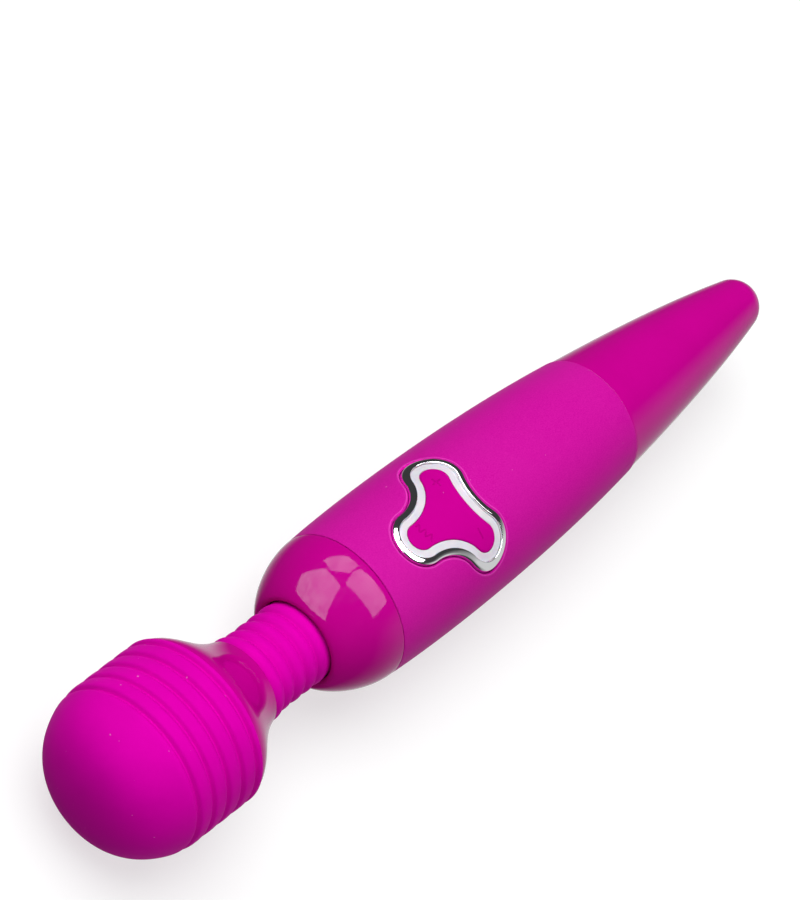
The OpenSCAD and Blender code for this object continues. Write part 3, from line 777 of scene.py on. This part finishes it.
def keypad_band(name, section):
    """Ring that follows the keypad's outline. The section is a closed loop of (offset, rise)."""
    points, rows = [], []
    for offset, rise in section:
        ring_points = lift(pad_outline(offset), rise).tolist()
        rows.append(list(range(len(points), len(points) + len(ring_points))))
        points += ring_points
    faces = []
    for i, row in enumerate(rows):
        faces += bridge(row, rows[(i + 1) % len(rows)])
    return mesh_object(name, points, faces)


def control_bezel():
    """Plated trim: steep inner shoulder, and a gentle slope outside that rolls over at its edge."""
    crest, shoulder, top, base, bottom = 2.78, 0.34, 0.8, 0.1, -2.2
    out = BEZEL_EDGE
    inner = [(crest - shoulder * math.cos(a), base + (top - base) * math.sin(a))
             for a in np.radians(np.linspace(0, 90, 9))]
    slope = curve([crest, top], [crest + 0.3, top], [crest + 0.7, top - 0.08], [out - 0.45, top - 0.18], 8)
    roll = curve(slope[-1], [out - 0.2, top - 0.24], [out, top - 0.4], [out, base], 8)
    return keypad_band(
        "bezel_trim", inner + slope[1:] + roll[1:] + [(out, bottom), (crest - shoulder, bottom)]
    )


def light_ring():
    """Frosted ring with softly rounded corners and a slight crown."""
    inside, corner, top, crown, bottom = 0.08, 0.22, 0.12, 0.07, -2.3
    turns = np.radians(np.linspace(0, 90, 6))
    low = [(inside + corner - corner * math.cos(a), top - corner + corner * math.sin(a)) for a in turns]
    high = [(RING_EDGE - corner + corner * math.sin(a), top - corner + corner * math.cos(a)) for a in turns]
    middle = [(inside + (RING_EDGE - inside) * t, top + crown * math.sin(math.pi * t))
              for t in (0.25, 0.5, 0.75)]
    return keypad_band("light_band", low + middle + high + [(RING_EDGE, bottom), (inside, bottom)])


PAD_RISE = 0.35
PAD_SPLIT = 3.6                      # from the keypad's middle to each lobe's own piece
PAD_FLOOR = -1.8
PAD_ROUND = 0.42                     # width of the rounding along the pad's edge
KEY_DOME, KEY_SPREAD = 0.10, 2.6     # how far each key swells above the pad, and how widely


def pad_top(plan):
    """Rise of the pad's surface above plan points: flat, with a slight swell at each key."""
    rise = np.full(len(plan), PAD_RISE)
    for angle in LOBE_ANGLES.values():
        middle = turn_plan([[LOBE_ORBIT, 0]], angle)[0]
        away = np.linalg.norm(plan - middle, axis=1)
        rise += KEY_DOME * np.exp(-(away / KEY_SPREAD) ** 2)
    return rise


def pad_lobe(name, angle):
    """One lobe of the soft pad, from the straight split to its rounded edge."""
    outline = lobe_outline(0)
    inner = lobe_outline(-PAD_ROUND)
    bearing = np.arctan2(inner[:, 1], inner[:, 0])
    split = np.column_stack([np.full(len(inner), PAD_SPLIT), PAD_SPLIT * np.tan(bearing)])
    rows, rises = [], []
    for share in np.linspace(0, 1, 24):
        rows.append(turn_plan(split + (inner - split) * share, angle))
        rises.append(pad_top(rows[-1]))
    for a in np.radians([22, 45, 68, 90]):
        rows.append(turn_plan(inner + (outline - inner) * math.sin(a), angle))
        rises.append(pad_top(rows[-1]) - PAD_ROUND * (1 - math.cos(a)))
    for flat in (outline, split):
        rows.append(turn_plan(flat, angle))
        rises.append(np.full(len(flat), PAD_FLOOR))
    points, numbers = [], []
    for row, rise in zip(rows, rises):
        numbers.append(list(range(len(points), len(points) + len(row))))
        points += lift(row, rise).tolist()
    faces = []
    for i, row in enumerate(numbers):
        faces += bridge(row, numbers[(i + 1) % len(numbers)], closed=False)
    faces += [[row[0] for row in numbers], [row[-1] for row in reversed(numbers)]]
    return mesh_object(name, points, faces)


def pad_middle():
    """Middle of the soft pad, which joins the three lobes."""
    inner = lobe_outline(-PAD_ROUND)
    bearing = np.arctan2(inner[:, 1], inner[:, 0])
    split = np.column_stack([np.full(len(inner), PAD_SPLIT), PAD_SPLIT * np.tan(bearing)])[:-1]
    loop = np.vstack([turn_plan(split, a) for a in (60, 180, 300)])
    middle = np.array([[PAD_X, 0.0]])
    rows = [np.repeat(middle, len(loop), axis=0) * (1 - t) + loop * t for t in np.linspace(0.1, 1, 10)]
    points = lift(middle, pad_top(middle)).tolist()
    numbers = []
    for row in rows:
        numbers.append(list(range(len(points), len(points) + len(row))))
        points += lift(row, pad_top(row)).tolist()
    numbers.append(list(range(len(points), len(points) + len(loop))))
    points += lift(loop, PAD_FLOOR).tolist()
    faces = [[0, a, b] for a, b in zip(numbers[0], numbers[0][1:] + numbers[0][:1])]
    for a, b in zip(numbers, numbers[1:]):
        faces += bridge(a, b)
    faces.append(numbers[-1])
    return mesh_object("pad_middle", points, faces)


def stroke(path, half_width):
    """Closed outline round a path, with round ends, as plan points."""
    path = np.asarray(path, float)
    ahead = np.gradient(path, axis=0)
    ahead /= np.linalg.norm(ahead, axis=1)[:, None]
    side = np.column_stack([-ahead[:, 1], ahead[:, 0]]) * half_width
    start = math.degrees(math.atan2(-ahead[0, 1], -ahead[0, 0]))
    stop = math.degrees(math.atan2(ahead[-1, 1], ahead[-1, 0]))
    cap = arc(path[-1], half_width, stop - 90, stop + 90, 8)[1:-1]
    tail = arc(path[0], half_width, start - 90, start + 90, 8)[1:-1]
    return np.vstack([path - side, cap, (path + side)[::-1], tail])


def raised_mark(name, outlines):
    """Low rounded relief over the pad. Each outline is given at its base and drawn in to its top."""
    points, faces = [], []
    for path, half_width in outlines:
        rows = []
        for share, rise in ((1.0, -0.08), (1.0, 0.03), (0.8, 0.08), (0.45, 0.11)):
            loop = stroke(path, half_width * share)
            rows.append(list(range(len(points), len(points) + len(loop))))
            points += lift(loop, pad_top(loop) + rise).tolist()
        for a, b in zip(rows, rows[1:]):
            faces += bridge(a, b)
        faces += [rows[0][::-1], rows[-1]]
    return mesh_object(name, points, faces, sharp=70)


MARK_LENGTH = 2.8                    # of the straight strokes
PLUS_AT, MINUS_AT = (37.8, 9.9), (38, -9.6)
ALONG, ACROSS = (1, 0), (0, 1)


def straight(middle, direction, count=9):
    """Plan points along a short straight stroke."""
    t = np.linspace(-MARK_LENGTH / 2, MARK_LENGTH / 2, count)[:, None]
    return np.array(middle, float) + t * np.array(direction, float)


def wave_path():
    """Zigzag wave across the wand, for the mode key."""
    waves, height = 2.75, 0.95
    start, run, swing = np.array([20.9, 3.1]), np.array([1.7, -5.8]), np.array([0.96, 0.28])
    t = np.linspace(0, 1, 72)[:, None]
    return start + run * t + swing * height * np.sin(2 * math.pi * waves * t)


# ---- build the pieces ----

def build():
    """Makes every piece, and fastens each piece of the head and the handle, and each mark, to its body."""
    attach(finish_piece(head_cap(), "soft_skin", "head_cap"), "head")
    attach(finish_piece(head_cup(), "gloss_shell", "head_cup"), "head")

    bellows_front, bellows_rear = neck_halves()
    bend_front(finish_piece(bellows_front, "soft_skin", "neck_sleeve"))
    bend_rear(finish_piece(bellows_rear, "soft_skin", "neck_sleeve"))
    coil_front = swept("spring_front", [spring_path(SPRING_FRONT, NECK_SPLIT)], WIRE_R)
    coil_rear = swept("spring_rear", [spring_path(NECK_SPLIT, SPRING_REAR)], WIRE_R)
    bend_front(finish_piece(coil_front, "steel", "neck_spring"))
    bend_rear(finish_piece(coil_rear, "steel", "neck_spring"))
    lead_slot = SLOT_OF["motor_leads"]
    leads_front = swept("leads_front", [lead_path(s, LEAD_FRONT) for s in (-1, 1)], LEAD_R)
    leads_rear = swept("leads_rear", [lead_path(s, LEAD_REAR) for s in (-1, 1)], LEAD_R)
    bend_front(finish_piece(leads_front, lead_slot, "motor_leads"))
    bend_rear(finish_piece(leads_rear, lead_slot, "motor_leads"))

    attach(finish_piece(front_collar(), "gloss_shell", "front_collar"), "handle")
    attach(finish_piece(grip_sleeve(), "satin_shell", "grip_sleeve"), "handle")
    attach(finish_piece(tail_cone(), "gloss_shell", "tail_cone"), "handle")
    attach(finish_piece(control_bezel(), "bright_trim", "control_bezel"), "handle")
    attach(finish_piece(light_ring(), "light_guide", "light_ring"), "handle")

    pad_skin = soft_skin("pad_skin", (0.50, 0.0, 0.25), (0.485, 0.0, 0.24))
    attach(finish_piece(pad_middle(), "soft_skin", "button_pad", material=pad_skin), "handle")
    for name, angle in LOBE_ANGLES.items():
        lobe = finish_piece(pad_lobe(name + "_lobe", angle), "soft_skin", name + "_key", material=pad_skin)
        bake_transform(lobe)

    mark_skin = soft_skin("mark_skin", (0.43, 0.0, 0.21), (0.41, 0.0, 0.20))
    marks = {                        # strokes of each mark, with their half widths
        "plus": [(straight(PLUS_AT, ALONG), 0.27), (straight(PLUS_AT, ACROSS), 0.27)],
        "minus": [(straight(MINUS_AT, ACROSS), 0.28)],
        "mode": [(wave_path(), 0.26)],
    }
    for name, outlines in marks.items():
        mark = finish_piece(raised_mark(name + "_mark", outlines), "soft_skin", material=mark_skin)
        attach(mark, name + "_button")


build()


# ---- stage ----

def floor():
    """Pale, plain floor that glows a little, and that no other surface sees or is lit by."""
    size = 12.0
    mesh = bpy.data.meshes.new("studio_floor")
    corners = [(-size, -size, 0), (size, -size, 0), (size, size, 0), (-size, size, 0)]
    mesh.from_pydata(corners, [], [(0, 1, 2, 3)])
    obj = bpy.data.objects.new("studio_floor", mesh)
    bpy.context.scene.collection.objects.link(obj)
    material, tree, shader, where = new_material("studio_floor")
    tone = remap(tree, noise(tree, where, 0.004, 2), 0.3, 0.7, 0.325, 0.335)
    tree.links.new(tone, shader.inputs["Base Color"])
    settings(shader, Roughness=0.9, Specular_IOR_Level=0.0)
    settings(shader, Emission_Color=(1.0, 1.0, 1.0), Emission_Strength=0.64)
    mesh.materials.append(material)
    obj.visible_diffuse = obj.visible_glossy = obj.visible_shadow = False


def sun(name, direction, strength, angle):
    """Even light from far away, soft by its angle in degrees, that makes no glint of its own."""
    light = bpy.data.lights.new(name, "SUN")
    light.energy, light.angle = strength, math.radians(angle)
    obj = bpy.data.objects.new(name, light)
    obj.rotation_euler = Vector(direction).to_track_quat("Z", "Y").to_euler()
    obj.visible_glossy = False
    bpy.context.scene.collection.objects.link(obj)


PANEL_HEIGHT, PANEL_RADIANCE = 1.25, 6.3
PANELS = {                           # corners in plan, in metres, of the panels overhead
    "panel_front": [(-2.3, 0.9), (-1.5, -0.2), (-0.25, 0.40), (-0.11, 1.48), (-0.9, 4.75), (-2.5, 4.65)],
    "panel_middle": [(-0.15, 0.33), (0.22, 0.49), (0.44, 0.39), (0.6, -0.88), (-0.04, -1.11)],
    "panel_side": [(0.2, 2.24), (0.53, 1.71), (0.66, 1.14), (0.5, 0.53), (0.1, 0.52), (-0.09, 1.12)],
}


def softbox(name, corners):
    """Level lit panel overhead, with an uneven diffuser, seen only as a reflection."""
    mesh = bpy.data.meshes.new(name)
    mesh.from_pydata([(x, y, PANEL_HEIGHT) for x, y in corners], [], [list(range(len(corners)))])
    material = bpy.data.materials.new(name)
    material.use_nodes = True
    tree = material.node_tree
    tree.nodes.clear()
    where = tree.nodes.new("ShaderNodeTexCoord")
    glow = tree.nodes.new("ShaderNodeEmission")
    out = tree.nodes.new("ShaderNodeOutputMaterial")
    cloth = noise(tree, where.outputs["Object"], 2.2, 4)
    radiance = remap(tree, cloth, 0.35, 0.7, 0.75 * PANEL_RADIANCE, 1.35 * PANEL_RADIANCE)
    tree.links.new(radiance, glow.inputs["Strength"])
    tree.links.new(glow.outputs[0], out.inputs["Surface"])
    mesh.materials.append(material)
    obj = bpy.data.objects.new(name, mesh)
    obj.visible_camera = obj.visible_diffuse = obj.visible_shadow = False
    obj.visible_transmission = False
    bpy.context.scene.collection.objects.link(obj)


def from_bearing(bearing, height):
    """Direction from its bearing round +Z and its height over the horizon, in degrees."""
    b, h = math.radians(bearing), math.radians(height)
    return (math.cos(h) * math.cos(b), math.cos(h) * math.sin(b), math.sin(h))


SKY_TONE, TABLE_TONE = (0.045, 0.045, 0.047), (0.66, 0.66, 0.66)
SKY_LEAN = 0.8


def lights():
    """Key, second and side suns, one from below for the light off the table, and three panels.

    The sky is seen in glossy surfaces only. It is dim, and pale where the table would show: where
    y * SKY_LEAN + z is low and x is above 0."""
    sun("key_sun", from_bearing(85, 74), 3.35, 60)
    sun("second_sun", from_bearing(110, 50), 0.4, 60)
    sun("side_fill", from_bearing(265, 35), 0.95, 70)
    sun("table_bounce", (0, 0, -1), 1.25, 180)
    for name, corners in PANELS.items():
        softbox(name, corners)
    world = bpy.data.worlds.new("studio")
    world.use_nodes = True
    tree = world.node_tree
    where = tree.nodes.new("ShaderNodeTexCoord")
    split = tree.nodes.new("ShaderNodeSeparateXYZ")
    tree.links.new(where.outputs["Generated"], split.inputs[0])
    lean = tree.nodes.new("ShaderNodeMath")
    lean.operation = "MULTIPLY_ADD"
    lean.inputs[1].default_value = SKY_LEAN
    tree.links.new(split.outputs["Y"], lean.inputs[0])
    tree.links.new(split.outputs["Z"], lean.inputs[2])
    table = tree.nodes.new("ShaderNodeMath")
    table.operation = "MULTIPLY"
    tree.links.new(remap(tree, lean.outputs[0], -0.45, 0.05, 1.0, 0.0), table.inputs[0])
    tree.links.new(remap(tree, split.outputs["X"], 0.0, 0.4, 0.0, 1.0), table.inputs[1])
    sky = blend_colour(tree, table.outputs[0], SKY_TONE, TABLE_TONE)
    tree.links.new(sky, tree.nodes["Background"].inputs["Color"])
    world.cycles_visibility.diffuse = False
    bpy.context.scene.world = world


VIEW_TARGET = Vector((0.0067, 0.0252, 0.0348))
VIEW_DISTANCE = 1.7464
VIEW_HEADING = 7.97                  # degrees from +X towards +Y
VIEW_DROP = 53.77                    # degrees below the horizon
VIEW_ROLL = 43.26                    # degrees that the camera leans


def camera():
    """Long-lens camera at the photograph's angle."""
    heading, drop, roll = (math.radians(a) for a in (VIEW_HEADING, VIEW_DROP, VIEW_ROLL))
    ahead = Vector((math.cos(drop) * math.cos(heading), math.cos(drop) * math.sin(heading), -math.sin(drop)))
    level = ahead.cross(Vector((0, 0, 1))).normalized()
    above = level.cross(ahead)
    right = level * math.cos(roll) + above * math.sin(roll)
    up = above * math.cos(roll) - level * math.sin(roll)
    data = bpy.data.cameras.new("camera")
    data.sensor_width, data.lens = 36, 240
    data.clip_start, data.clip_end = 0.05, 50
    obj = bpy.data.objects.new("camera", data)
    turn = Matrix((right, up, -ahead)).transposed().to_4x4()
    obj.matrix_world = Matrix.Translation(VIEW_TARGET - ahead * VIEW_DISTANCE) @ turn
    bpy.context.scene.collection.objects.link(obj)
    bpy.context.scene.camera = obj


floor()
lights()
camera()
bpy.context.scene.view_settings.view_transform = "Standard"
